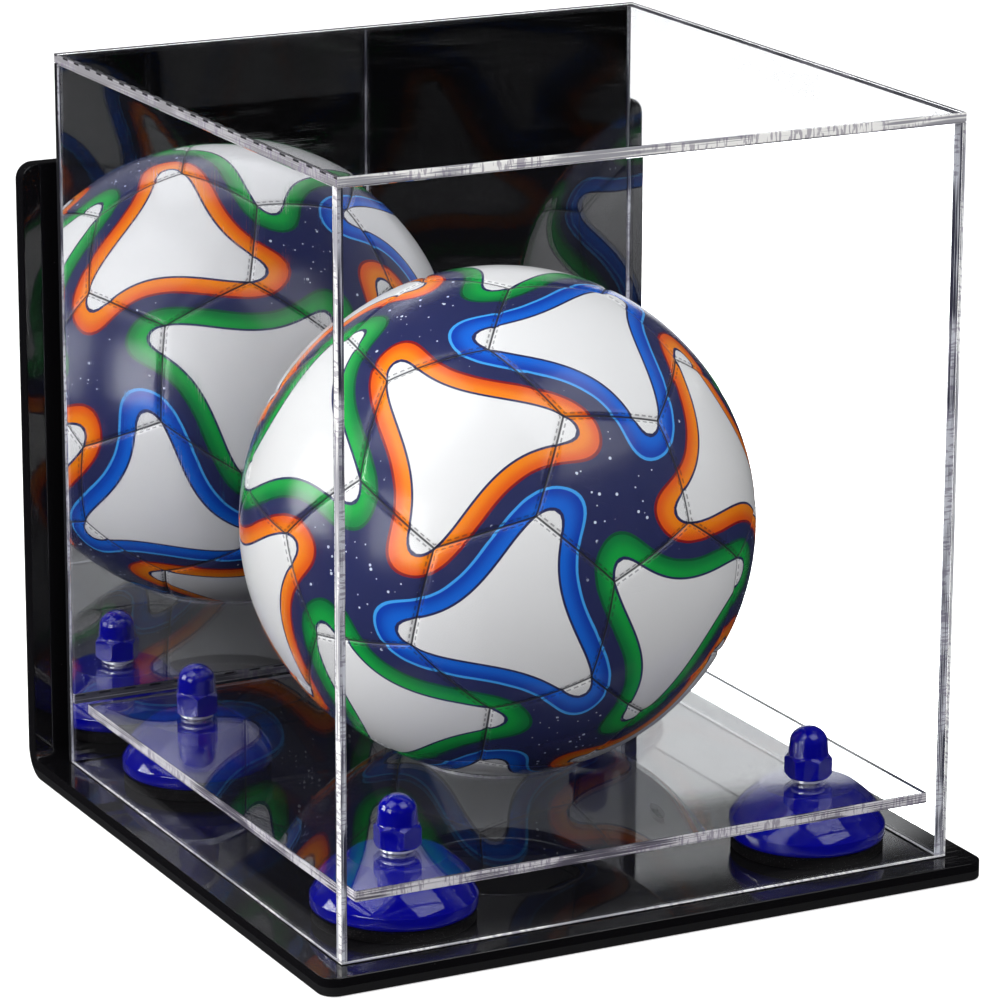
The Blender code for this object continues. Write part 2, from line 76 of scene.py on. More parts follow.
# Pads, bells and washers. A solid turned piece starts from a small ring, which is then filled
CORE_RADIUS = 0.002
PAD_RADIUS = 0.0328
PAD_HEIGHT = 0.0044
PAD_EDGE = 0.0006
BELL_HEIGHT = 0.0194
BELL_RADIUS = 0.0335
BELL_LIP = 0.0024
BELL_CREASE = [(0.03345, 0.0061), (0.0335, 0.0058)]
BELL_SHOULDER_END = (0.0333, 0.0064)
BELL_SHOULDER_BULGE = (0.68, 0.53)
BELL_TOP_RADIUS = 0.0212
BELL_TOP_EDGE = 0.0008
POCKET_RADIUS = 0.0078
POCKET_TOP = 0.0124
WASHER_RADIUS = 0.0074
WASHER_HEIGHT = 0.0015
WASHER_EDGE = 0.0003

# Acorn nuts
NUT_FLAT = 0.0089
NUT_HEX_HEIGHT = 0.0094
NUT_CHAMFER = 0.0022
NUT_DOME_RADIUS = 0.0086
NUT_DOME_TOP_RADIUS = 0.0082
NUT_SHOULDER = 0.0152
NUT_HEIGHT = 0.0222
NUT_EDGE = 0.00035
NUT_BORE_DEPTH = 0.0130
NUT_MARGIN = 0.001

# Ball. Seam rows, depth and reach are in mm
BALL_RADIUS = 0.110
BALL_CENTRE = Vector((0.0, -0.005, 0.14081))
BALL_TURN = Euler([math.radians(angle) for angle in (142.0, 17.0, 64.0)])
BALL_TOP_PANEL = Vector((0.4911, 0.3568, 0.7947))
PANEL_ROWS = 21
SEAM_ROWS = (0.0, 0.28, 0.56, 0.84, 1.15, 1.55, 2.1, 2.9, 4.0)
SEAM_DEPTH = 1.0
SEAM_REACH = 1.0
CASING_THICKNESS = 0.0034
VALVE_HOLE = 0.0045

# Print on the ball, in mm: curved navy bands that meet in knots, with a ribbon along each side
BAND_SAMPLES = 61
KNOT_SPACING = 121.8
NEIGHBOUR_KNOTS = 0.3
BAND_SWING = 14.0
BAND_HALF_WIDTH = 3.2
KNOT_HALF_WIDTH = 8.0
BAND_BLEND = 4.0
PRINT_LINE = 1.1
PRINT_RIBBON = 6.6
PRINT_OUTLINE = 1.0
STITCH_SPACING = 2.9

# Colours of the print. The ribbons are orange, green and blue, each deeper where it starts
NAVY = (0.022, 0.027, 0.100)
WHITE = (0.84, 0.835, 0.83)
RIBBON_LINES = ((0.24, 0.008, 0.012), (0.004, 0.095, 0.035), (0.05, 0.36, 0.86))
RIBBON_STARTS = ((0.80, 0.10, 0.004), (0.004, 0.20, 0.045), (0.004, 0.05, 0.42))
RIBBONS = ((0.93, 0.24, 0.004), (0.006, 0.36, 0.055), (0.005, 0.13, 0.66))

# Cut edges of the clear sheets, with painted light and shade. The tables have one entry for each of
# the five looks
BRIGHT, GREY, MIXED, JOINED, SILVER = 0.1, 0.3, 0.5, 0.7, 0.9
EDGE_DARKS = ((0.34, 0.34, 0.37), (0.10, 0.10, 0.12), (0.11, 0.10, 0.13), (0.045, 0.045, 0.075),
              (0.23, 0.225, 0.24))
EDGE_LIGHTS = ((0.95, 0.95, 0.92), (0.40, 0.40, 0.42), (0.80, 0.77, 0.80), (0.78, 0.79, 0.85),
               (0.36, 0.355, 0.37))
EDGE_DASHES = (0.0, 1.0, 0.0, 0.0, 1.0)
DASH_SPACING = 12.4
ACRYLIC_IOR = 1.49

# Sides of a sheet, as an axis and a direction
LEFT, RIGHT, FRONT, BACK, UPPER = (0, -1), (0, 1), (1, -1), (1, 1), (2, 1)

# Stage. THROUGH_LEVEL makes up for the light that the clear sheets take from the white room
THROUGH_LEVEL = 3.3
AMBIENT = 0.74
FLOOR_SIZE = 30.0
FLOOR_DROP = 0.0004
FLOOR_GLOW = 0.55
CARD_SIZE = (0.80, 0.62, 1.0)
CARD_PLACE = (0.60, 0.95, 0.31)

# Lamps: place, side, power in W, colour, and whether gloss and mirror show the lamp
LAMPS = {
    "left_box": ((-0.88, -0.02, 1.27), 1.05, 7.5, (0.98, 0.98, 1.0), True),
    "side_fill": ((-1.20, 0.55, 0.38), 0.6, 9.5, (1.0, 1.0, 1.0), False),
    "low_fill": ((-1.25, -0.40, 0.32), 0.6, 5.0, (1.0, 1.0, 1.0), False),
    "front_box": ((0.38, -0.82, 1.30), 1.05, 7.6, (0.98, 0.98, 1.0), True),
}
LAMP_TARGET = Vector((0.0, -0.05, 0.08))

# Camera
CAMERA_PLACE = (-0.9476, -1.8432, 0.7351)
CAMERA_YAW, CAMERA_PITCH, CAMERA_ROLL = 0.4761, 0.2760, 0.0033
CAMERA_LENS = 179.35

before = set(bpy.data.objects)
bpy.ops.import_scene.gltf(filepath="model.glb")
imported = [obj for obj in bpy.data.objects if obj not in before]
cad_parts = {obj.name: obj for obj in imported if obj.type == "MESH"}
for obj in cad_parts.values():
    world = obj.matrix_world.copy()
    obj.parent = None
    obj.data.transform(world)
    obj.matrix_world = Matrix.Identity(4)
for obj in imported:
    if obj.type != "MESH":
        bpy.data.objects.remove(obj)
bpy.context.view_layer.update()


# Picking and shaping

def only(piece):
    """Select one piece alone and make it the active one."""
    bpy.ops.object.select_all(action="DESELECT")
    piece.select_set(True)
    bpy.context.view_layer.objects.active = piece


def pick(piece, kind, test):
    """Enter edit mode with just the corners, edges or faces selected that pass the test."""
    only(piece)
    bpy.ops.object.mode_set(mode="EDIT")
    bpy.ops.mesh.select_mode(type=kind)
    bpy.ops.mesh.select_all(action="DESELECT")
    bpy.ops.object.mode_set(mode="OBJECT")
    mesh = piece.data
    parts = {"VERT": mesh.vertices, "EDGE": mesh.edges, "FACE": mesh.polygons}[kind]
    for part in parts:
        part.select = bool(test(part))
    bpy.ops.object.mode_set(mode="EDIT")


def pick_all(piece):
    only(piece)
    bpy.ops.object.mode_set(mode="EDIT")
    bpy.ops.mesh.select_all(action="SELECT")


def leave_edit():
    bpy.ops.object.mode_set(mode="OBJECT")


def new_piece(name):
    """Name the primitive that was just added."""
    piece = bpy.context.object
    piece.name = name
    piece.data.name = name
    return piece


def settle(piece):
    """Put a piece's place, turn and scale into its mesh."""
    only(piece)
    bpy.ops.object.transform_apply(location=True, rotation=True, scale=True)


def modify(piece, kind, **settings):
    """Add a modifier with these settings and apply it."""
    only(piece)
    modifier = piece.modifiers.new(kind.lower(), kind)
    for key, value in settings.items():
        setattr(modifier, key, value)
    bpy.ops.object.modifier_apply(modifier=modifier.name)


def smooth(piece, degrees=35.0):
    only(piece)
    bpy.ops.object.shade_smooth_by_angle(angle=math.radians(degrees))


def arc(centre, radius, start_deg, end_deg, steps):
    """Points along part of a circle."""
    points = []
    for index in range(steps + 1):
        angle = math.radians(start_deg + (end_deg - start_deg) * index / steps)
        points.append((centre[0] + radius * math.cos(angle),
                       centre[1] + radius * math.sin(angle)))
    return points


def turned(name, profile, steps, closed=False):
    """Raise a ring of edges through a profile of (radius, height) points about Z."""
    bpy.ops.object.select_all(action="DESELECT")
    radius, height = profile[0]
    bpy.ops.mesh.primitive_circle_add(vertices=steps, radius=radius, location=(0.0, 0.0, height),
                                      fill_type="NOTHING")
    piece = new_piece(name)
    settle(piece)
    pick_all(piece)
    path = list(profile) + [profile[0]] if closed else list(profile)
    for (r0, h0), (r1, h1) in zip(path, path[1:]):
        bpy.ops.mesh.extrude_edges_move(TRANSFORM_OT_translate={"value": (0.0, 0.0, h1 - h0)})
        bpy.ops.transform.resize(value=(r1 / r0, r1 / r0, 1.0), center_override=(0.0, 0.0, 0.0))
    bpy.ops.mesh.select_all(action="SELECT")
    if closed:
        bpy.ops.mesh.remove_doubles(threshold=1e-6)
    else:
        bpy.ops.mesh.fill_holes(sides=0)
    bpy.ops.mesh.select_all(action="SELECT")
    bpy.ops.mesh.normals_make_consistent(inside=False)
    leave_edit()
    return piece


def block(name, low, high):
    """A plain sheet of material from corner to corner."""
    bpy.ops.object.select_all(action="DESELECT")
    low, high = Vector(low), Vector(high)
    bpy.ops.mesh.primitive_cube_add(size=1.0, location=(low + high) / 2)
    piece = new_piece(name)
    piece.scale = high - low
    settle(piece)
    return piece


def boolean(piece, cutter, operation="DIFFERENCE"):
    modify(piece, "BOOLEAN", object=cutter, operation=operation, solver="EXACT")
    bpy.data.objects.remove(cutter, do_unlink=True)


def finish(piece, body, material, node, edges=None, tones=None):
    """Give a piece its material and its body, and hide the CAD node it stands for. A clear sheet
    also gets a material for its cut edges."""
    piece.data.materials.clear()
    piece.data.materials.append(material)
    if edges:
        piece.data.materials.append(edges)
        mark_edges(piece, tones)
    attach(piece, body)
    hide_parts(node)


def recolour(node, material):
    """Give a material to a CAD node that is shown as it is."""
    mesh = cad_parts[node].data
    mesh.materials.clear()
    mesh.materials.append(material)


def new_object(name, data):
    """Put a copy, a lamp or the camera into the scene."""
    added = bpy.data.objects.new(name, data)
    bpy.context.scene.collection.objects.link(added)
    return added


def copy_to(piece, name, place, turn_deg):
    """A copy with its own mesh, turned about Z and moved in the mesh itself."""
    twin = new_object(name, piece.data.copy())
    twin.data.name = name
    twin.data.transform(Matrix.Translation(place) @ Matrix.Rotation(math.radians(turn_deg), 4, "Z"))
    return twin


# Material helpers

class Graph:
    """A node tree that is filled one node at a time."""

    def __init__(self, tree):
        self.tree = tree
        self.tree.nodes.clear()

    def node(self, kind, inputs=None, **settings):
        """Add a node. Each input is a plain value, or the output that feeds it."""
        node = self.tree.nodes.new(kind)
        for key, value in settings.items():
            setattr(node, key, value)
        for key, value in (inputs or {}).items():
            socket = node.inputs[key]
            if isinstance(value, bpy.types.NodeSocket):
                self.tree.links.new(value, socket)
            elif isinstance(value, tuple) and len(value) == 3 and socket.type == "RGBA":
                socket.default_value = (*value, 1.0)
            else:
                socket.default_value = value
        return node

    def add(self, kind, inputs=None, output=0, **settings):
        """Add a node and give the one output of it that is used."""
        return self.node(kind, inputs, **settings).outputs[output]

    def math(self, operation, first, second=0.0, third=0.0, clamp=False):
        return self.add("ShaderNodeMath", {0: first, 1: second, 2: third}, operation=operation,
                        use_clamp=clamp)

    def times(self, first, *others):
        for other in others:
            first = self.math("MULTIPLY", first, other)
        return first

    def plus(self, first, *others):
        for other in others:
            first = self.math("ADD", first, other)
        return first

    def mix(self, factor, first, second):
        """Mix two colours, which are the node's inputs 6 and 7."""
        return self.add("ShaderNodeMix", {"Factor": factor, 6: first, 7: second}, output=2,
                        data_type="RGBA", clamp_factor=True)

    def blend(self, factor, first, second):
        """Mix two plain numbers, which are the node's inputs 2 and 3."""
        return self.add("ShaderNodeMix", {"Factor": factor, 2: first, 3: second},
                        data_type="FLOAT", clamp_factor=True)

    def step(self, value, edge, softness):
        """Rise from 0 to 1 as value passes edge."""
        return self.add("ShaderNodeMapRange", {"Value": value, "From Min": edge - softness,
                                               "From Max": edge + softness},
                        interpolation_type="SMOOTHSTEP")

    def fall(self, value, edge, softness):
        """Fall from 1 to 0 as value passes edge."""
        return self.math("SUBTRACT", 1.0, self.step(value, edge, softness))

    def between(self, value, low, high):
        """1 between a low and a high edge. Each is given with its softness."""
        return self.times(self.step(value, *low), self.fall(value, *high))

    def noise(self, vector, scale, detail=2.0, roughness=0.5, distortion=0.0):
        return self.add("ShaderNodeTexNoise", {"Vector": vector, "Scale": scale, "Detail": detail,
                                               "Roughness": roughness, "Distortion": distortion})

    def mapping(self, vector, scale, turn=(0.0, 0.0, 0.0)):
        return self.add("ShaderNodeMapping", {"Vector": vector, "Scale": scale, "Rotation": turn})

    def part(self, vector, axis):
        """One coordinate of a vector."""
        return self.add("ShaderNodeSeparateXYZ", {0: vector}, output=axis)

    def facing(self, axis):
        """One coordinate of the surface's normal."""
        return self.part(self.add("ShaderNodeNewGeometry", output="Normal"), axis)

    def attribute(self, name):
        return self.add("ShaderNodeAttribute", output="Fac", attribute_name=name)

    def bump(self, height, strength, distance):
        return self.add("ShaderNodeBump", {"Height": height, "Strength": strength,
                                           "Distance": distance})


def pick_colour(graph, value, colours):
    """Share the range from 0 to 1 evenly among the colours, and give the one at value."""
    node = graph.node("ShaderNodeValToRGB", {0: value})
    node.color_ramp.interpolation = "CONSTANT"
    elements = node.color_ramp.elements
    while len(elements) < len(colours):
        elements.new(0.5)
    for index, (element, colour) in enumerate(zip(elements, colours)):
        element.position = index / len(colours)
        element.color = (*colour, 1.0)
    return node.outputs[0]


def new_material(name):
    material = bpy.data.materials.new(name)
    material.use_nodes = True
    return material, Graph(material.node_tree)


def place_of(graph):
    return graph.add("ShaderNodeTexCoord", output="Object")


def principled(graph, **inputs):
    names = {key.replace("_", " "): value for key, value in inputs.items()}
    return graph.add("ShaderNodeBsdfPrincipled", names)


def output(graph, shader):
    graph.node("ShaderNodeOutputMaterial", {"Surface": shader})


def new_group(name, numbers, outputs):
    """Start a node group that takes a place and some numbers, and gives numbers."""
    tree = bpy.data.node_groups.new(name, "ShaderNodeTree")
    graph = Graph(tree)
    tree.interface.new_socket(name="Vector", in_out="INPUT", socket_type="NodeSocketVector")
    for title, value in numbers.items():
        socket = tree.interface.new_socket(name=title, in_out="INPUT",
                                           socket_type="NodeSocketFloat")
        socket.default_value = value
    for title in outputs:
        tree.interface.new_socket(name=title, in_out="OUTPUT", socket_type="NodeSocketFloat")
    return graph, graph.node("NodeGroupInput").outputs


def use_group(graph, group, which, **inputs):
    return graph.add("ShaderNodeGroup", {"Vector": place_of(graph), **inputs}, output=which,
                     node_tree=group)


def make_scuffs():
    """Fine hairline scratches and soft wipe marks on a polished surface."""
    graph, entry = new_group("polish marks", {"Scale": 1.0, "Amount": 0.5},
                             ("Hairlines", "Smudge"))
    spread = graph.add("ShaderNodeVectorMath", {0: entry["Vector"], 3: entry["Scale"]},
                       operation="SCALE")
    lines = []
    for turn in (0.3, 1.2, 2.3):
        streak = graph.noise(graph.mapping(spread, (6.0, 420.0, 6.0), (0.0, 0.0, turn)), 3.0, 1.0)
        patch = graph.noise(spread, 24.0 + 9.0 * turn, 1.0)
        lines.append(graph.times(graph.step(streak, 0.70, 0.03), graph.step(patch, 0.56, 0.06)))
    total = graph.math("ADD", graph.plus(lines[0], lines[1]), lines[2], clamp=True)
    wiped = graph.noise(graph.mapping(spread, (10.0, 26.0, 14.0), (0.4, 0.2, 0.7)), 1.0, 3.0, 0.6)
    graph.node("NodeGroupOutput", {"Hairlines": graph.times(total, entry["Amount"]),
                                   "Smudge": graph.times(wiped, entry["Amount"])})
    return graph.tree


def make_specks():
    """Small scattered round specks: dust on a sheet, flecks in foam, dots in a print."""
    graph, entry = new_group("scattered specks", {"Scale": 400.0, "Size": 0.2, "Share": 0.3},
                             ("Mask",))
    cells = graph.node("ShaderNodeTexVoronoi", {"Vector": entry["Vector"],
                                                "Scale": entry["Scale"]})
    near = graph.math("LESS_THAN", cells.outputs["Distance"], entry["Size"])
    chance = graph.add("ShaderNodeSeparateColor", {0: cells.outputs["Color"]})
    chosen = graph.math("LESS_THAN", chance, entry["Share"])
    graph.node("NodeGroupOutput", {"Mask": graph.times(near, chosen)})
    return graph.tree


def make_leather():
    """Pebbled grain with soft creases, as a height."""
    graph, entry = new_group("leather grain", {"Scale": 900.0, "Creases": 0.5},
                             ("Height", "Wear"))
    pebbles = graph.add("ShaderNodeTexVoronoi", {"Vector": entry["Vector"],
                                                 "Scale": entry["Scale"]},
                        output="Distance", feature="SMOOTH_F1")
    soft = graph.noise(entry["Vector"], 60.0, 3.0, 0.6, 0.6)
    fold = graph.math("ABSOLUTE", graph.math("SUBTRACT", soft, 0.5))
    held = graph.step(graph.noise(entry["Vector"], 22.0), 0.55, 0.08)
    crease = graph.times(graph.fall(fold, 0.02, 0.018), held, entry["Creases"])
    height = graph.math("SUBTRACT", graph.times(pebbles, 0.4), crease)
    graph.node("NodeGroupOutput", {"Height": height, "Wear": crease})
    return graph.tree


SCUFFS = make_scuffs()
SPECKS = make_specks()
LEATHER = make_leather()


def marks(graph, which, scale, amount):
    return use_group(graph, SCUFFS, which, Scale=scale, Amount=amount)


def specks(graph, scale, size, share):
    return use_group(graph, SPECKS, "Mask", Scale=scale, Size=size, Share=share)


# Materials

def make_black_acrylic():
    """Gloss black sheet with a little dust. The lower half of its cut edges is rougher, and painted
    a little lighter as a painted reflection.
    """
    material, graph = new_material("black acrylic sheet")
    dust = specks(graph, 260.0, 0.05, 0.25)
    colour = graph.mix(graph.times(dust, 0.5), (0.0035, 0.0033, 0.004), (0.12, 0.11, 0.12))
    upright = graph.math("LESS_THAN", graph.math("ABSOLUTE", graph.facing("Z")), 0.5)
    # Lower half of the upright cut edges: rougher, and painted a little lighter as a painted
    # reflection
    dull_band_with_painted_reflection = graph.times(graph.fall(graph.part(place_of(graph), "Z"), SHEET / 2, 0.0002), upright)
    colour = graph.mix(dull_band_with_painted_reflection, colour, (0.011, 0.011, 0.012))
    rough = graph.plus(marks(graph, "Smudge", 1.0, 0.05), 0.012, graph.times(dull_band_with_painted_reflection, 0.35),
                       graph.times(dust, 0.2))
    scratches = graph.bump(marks(graph, "Hairlines", 1.0, 1.0), 0.12, 0.00005)
    output(graph, principled(graph, Base_Color=colour, Roughness=rough, IOR=ACRYLIC_IOR,
                             Normal=scratches))
    return material


def make_clear_acrylic():
    """Clear sheet. It lets the light of the lamps and of the room through unbent."""
    material, graph = new_material("clear acrylic sheet")
    smudge = marks(graph, "Smudge", 0.8, 1.0)
    colour = graph.mix(smudge, (0.985, 0.990, 0.990), (0.970, 0.982, 0.985))
    scratches = graph.bump(marks(graph, "Hairlines", 1.0, 1.0), 0.03, 0.00003)
    glass = principled(graph, Base_Color=colour, Roughness=graph.times(smudge, 0.004),
                       IOR=ACRYLIC_IOR, Transmission_Weight=1.0, Normal=scratches)
    clear = graph.add("ShaderNodeBsdfTransparent", {"Color": (0.95, 0.955, 0.96)})
    path = graph.node("ShaderNodeLightPath").outputs
    pass_light = graph.math("MAXIMUM", path["Is Shadow Ray"], path["Is Diffuse Ray"])
    output(graph, graph.add("ShaderNodeMixShader", {0: pass_light, 1: glass, 2: clear}))
    return material


def make_cut_edge():
    """The polished cut round a clear sheet, with painted light and shade: pale painted streaks of
    light along it, a painted brightness set by the side it faces, fine ribs and dark dashes.
    """
    material, graph = new_material("polished cut edge")
    along, across, tone = (graph.attribute(f"edge_{name}") for name in ("along", "across", "tone"))
    place = graph.add("ShaderNodeCombineXYZ", {0: along, 1: across, 2: tone})
    # The lines are painted streaks of light and shade along the edge
    lines = graph.noise(graph.mapping(place, (0.012, 2.3, 5.0)), 1.0, 2.0, 0.6)
    ribs = graph.noise(graph.mapping(place, (0.9, 0.2, 5.0)), 1.0, 1.5)
    patches = graph.noise(graph.mapping(place, (0.035, 0.15, 5.0)), 1.0, 1.0)
    shifted = graph.math("MULTIPLY_ADD", graph.math("SUBTRACT", patches, 0.5), 0.8, lines)
    period = graph.math("FRACT", graph.math("DIVIDE", along, DASH_SPACING))
    dash = graph.times(graph.between(period, (0.10, 0.05), (0.55, 0.05)),
                       graph.between(across, (1.0, 0.15), (1.9, 0.05)),
                       pick_colour(graph, tone, [(share,) * 3 for share in EDGE_DASHES]))
    # Painted light and shade: dark and light colours picked by the side the edge faces, mixed by
    # the painted streaks
    colour = graph.mix(graph.step(shifted, 0.50, 0.06), pick_colour(graph, tone, EDGE_DARKS),
                       pick_colour(graph, tone, EDGE_LIGHTS))
    ribbed = graph.times(graph.step(ribs, 0.55, 0.05), graph.step(patches, 0.46, 0.06), 0.6)
    colour = graph.mix(ribbed, colour, (0.17, 0.14, 0.22))
    colour = graph.mix(graph.times(dash, 0.9), colour, (0.012, 0.012, 0.015))
    rough = graph.math("MULTIPLY_ADD", ribs, 0.25, 0.08)
    output(graph, principled(graph, Base_Color=colour, Roughness=rough, IOR=ACRYLIC_IOR,
                             Normal=graph.bump(ribs, 0.4, 0.0001)))
    return material


def make_mirror():
    """Silvered on the side that faces the front, and dull black all round."""
    material, graph = new_material("silvered acrylic mirror")
    front = graph.math("LESS_THAN", graph.facing("Y"), -0.6)
    colour = graph.mix(front, (0.012, 0.012, 0.014), (0.90, 0.90, 0.92))
    rough = graph.blend(front, 0.25, marks(graph, "Smudge", 0.7, 0.012))
    waves = graph.bump(graph.noise(place_of(graph), 14.0, 1.0), 0.02, 0.0002)
    output(graph, principled(graph, Base_Color=colour, Metallic=front, Roughness=rough,
                             Normal=waves))
    return material


def make_blue_gloss():
    material, graph = new_material("glossy royal blue plastic")
    place = place_of(graph)
    colour = graph.mix(graph.noise(place, 45.0), (0.0, 0.0, 0.19), (0.0004, 0.0004, 0.29))
    rough = graph.plus(marks(graph, "Smudge", 3.0, 0.05), 0.04)
    output(graph, principled(graph, Base_Color=colour, Roughness=rough, IOR=1.5, Coat_Weight=0.5,
                             Coat_Roughness=0.03,
                             Normal=graph.bump(graph.noise(place, 160.0, 1.0), 0.05, 0.0002)))
    return material


def make_foam():
    material, graph = new_material("black foam")
    cells = graph.add("ShaderNodeTexVoronoi", {"Vector": place_of(graph), "Scale": 1500.0},
                      output="Distance")
    fleck = specks(graph, 1300.0, 0.3, 0.3)
    colour = graph.mix(fleck, (0.0022, 0.0018, 0.0022), (0.020, 0.016, 0.018))
    rough = graph.math("SUBTRACT", 0.98, graph.times(fleck, 0.3))
    output(graph, principled(graph, Base_Color=colour, Roughness=rough, Specular_IOR_Level=0.15,
                             Normal=graph.bump(cells, 0.7, 0.0004)))
    return material


def make_steel():
    material, graph = new_material("bright plated steel")
    brushed = graph.noise(graph.mapping(place_of(graph), (60.0, 60.0, 2500.0)), 1.0)
    colour = graph.mix(brushed, (0.72, 0.72, 0.74), (0.90, 0.90, 0.92))
    rough = graph.plus(graph.times(brushed, 0.16), 0.10)
    output(graph, principled(graph, Base_Color=colour, Metallic=0.6, Roughness=rough,
                             Normal=graph.bump(brushed, 0.1, 0.00005)))
    return material


def make_rubber():
    material, graph = new_material("black valve rubber")
    grain = graph.noise(place_of(graph), 1800.0)
    colour = graph.mix(grain, (0.012, 0.012, 0.012), (0.035, 0.034, 0.033))
    rough = graph.plus(graph.times(grain, 0.3), 0.45)
    output(graph, principled(graph, Base_Color=colour, Roughness=rough,
                             Normal=graph.bump(grain, 0.3, 0.0001)))
    return material


def make_ball_panels():
    """White fields, ribbons and starry navy bands, with grain, seams and stitches."""
    material, graph = new_material("printed ball panels")
    reach, palette, across, along = (graph.attribute(name) for name in (
        "print_reach", "print_palette", "seam_across", "seam_along"))
    soft = 0.12
    ribbon_end = PRINT_LINE + PRINT_RIBBON
    tone = graph.math("DIVIDE", graph.math("SUBTRACT", reach, PRINT_LINE), PRINT_RIBBON)
    ribbon = graph.mix(graph.step(tone, 0.45, 0.4), pick_colour(graph, palette, RIBBON_STARTS),
                       pick_colour(graph, palette, RIBBONS))
    colour = NAVY
    for edge, beyond in ((0.0, pick_colour(graph, palette, RIBBON_LINES)), (PRINT_LINE, ribbon),
                         (ribbon_end, NAVY), (ribbon_end + PRINT_OUTLINE, WHITE)):
        colour = graph.mix(graph.step(reach, edge, soft), colour, beyond)
    dots = [graph.times(specks(graph, *kind), graph.fall(reach, -2.5, 0.5))
            for kind in ((250.0, 0.17, 0.36), (420.0, 0.16, 0.20))]
    colour = graph.mix(graph.math("MAXIMUM", *dots), colour, (0.66, 0.72, 0.86))
    groove = graph.fall(across, 0.42, 0.2)
    period = graph.math("FRACT", graph.math("DIVIDE", along, STITCH_SPACING))
    stitch = graph.times(graph.between(period, (0.12, 0.05), (0.72, 0.05)),
                         graph.between(across, (0.95, 0.12), (1.55, 0.12)))
    colour = graph.mix(graph.times(groove, 0.9), colour, (0.012, 0.012, 0.02))
    colour = graph.mix(graph.times(stitch, 0.55), colour, (0.02, 0.02, 0.03))
    grain = use_group(graph, LEATHER, "Height", Scale=1500.0, Creases=0.2)
    wear = use_group(graph, LEATHER, "Wear", Scale=1500.0, Creases=0.4)
    seam_place = graph.add("ShaderNodeCombineXYZ", {0: along, 1: graph.times(across, 0.12)})
    pucker = graph.times(graph.noise(seam_place, 0.9), graph.fall(across, 3.5, 3.0))
    relief = graph.math("MULTIPLY_ADD", pucker, 1.6, grain)
    relief = graph.math("MULTIPLY_ADD", stitch, -1.6, relief)
    rough = graph.math("MULTIPLY_ADD", groove, 0.4, graph.plus(graph.times(wear, 0.12), 0.22))
    output(graph, principled(graph, Base_Color=colour, Roughness=rough, IOR=1.5, Coat_Weight=0.25,
                             Coat_Roughness=0.12, Normal=graph.bump(relief, 0.35, 0.00025)))
    return material


# Bent sheet

def make_bent_sheet(material):
    """Base and wall plate in one: a flat sheet, folded up at the back."""
    bpy.ops.object.select_all(action="DESELECT")
    bpy.ops.mesh.primitive_plane_add(size=1.0, location=(0.0, 0.0, 0.0))
    piece = new_piece("bent_sheet")
    piece.scale = (2 * BASE_SIDE, WALL_BACK - BASE_FRONT, 1.0)
    settle(piece)

    def at_back(edge):
        return all(piece.data.vertices[i].co.y > WALL_BACK - NEAR for i in edge.vertices)

    def at_fold(edge):
        return at_back(edge) and all(piece.data.vertices[i].co.z < NEAR for i in edge.vertices)

    pick(piece, "EDGE", at_back)
    bpy.ops.mesh.extrude_edges_move(TRANSFORM_OT_translate={"value": (0.0, 0.0, WALL_TOP)})
    leave_edit()
    pick(piece, "EDGE", at_fold)
    bpy.ops.mesh.bevel(offset=BEND_OUTER, segments=20, affect="EDGES")
    leave_edit()
    pick(piece, "VERT", lambda corner: corner.co.y < BASE_FRONT + NEAR
         or corner.co.z > WALL_TOP - NEAR)
    bpy.ops.mesh.bevel(offset=SHEET_CORNER, segments=10, affect="VERTICES")
    leave_edit()
    floor_face = min(piece.data.polygons, key=lambda face: face.center.z)
    if floor_face.normal.z > 0:
        pick_all(piece)
        bpy.ops.mesh.flip_normals()
        leave_edit()
    modify(piece, "SOLIDIFY", thickness=SHEET, offset=-1.0, use_even_offset=True)
    modify(piece, "BEVEL", width=SHEET_EDGE, segments=3, limit_method="ANGLE",
           angle_limit=math.radians(40.0))
    smooth(piece, 30.0)
    modify(piece, "WEIGHTED_NORMAL", mode="FACE_AREA", weight=100, keep_sharp=True)
    finish(piece, "base", material, "wall_base")


# Cover

def mark_edges(piece, tones):
    """Give the narrow sides of a sheet the second material, and say where each point of them
    lies along and across the cut. Each (axis, side) pair in tones has its own painted light and
    shade."""
    mesh = piece.data
    places = np.array([corner.co for corner in mesh.vertices])
    thin = int(np.argmin(places.max(0) - places.min(0)))
    middle = (places.max(0)[thin] + places.min(0)[thin]) / 2
    along = mesh.attributes.new("edge_along", "FLOAT", "CORNER")
    across = mesh.attributes.new("edge_across", "FLOAT", "CORNER")
    tone = mesh.attributes.new("edge_tone", "FLOAT", "FACE")
    for face in mesh.polygons:
        facing = max((axis for axis in range(3) if axis != thin),
                     key=lambda axis: abs(face.normal[axis]))
        face.material_index = 0 if abs(face.normal[thin]) > 0.9 else 1
        side = 1 if face.normal[facing] > 0 else -1
        # The side an edge faces picks its painted light and shade
        tone.data[face.index].value = tones.get((facing, side), BRIGHT)
        running = 3 - thin - facing
        for loop in face.loop_indices:
            place = places[mesh.loops[loop].vertex_index]
            along.data[loop].value = place[running] / MM
            across.data[loop].value = (place[thin] - middle) / MM


def eased_panel(name, low, high):
    piece = block(name, low, high)
    modify(piece, "BEVEL", width=PANEL_EDGE, segments=3, limit_method="NONE")
    bpy.ops.object.shade_flat()
    return piece


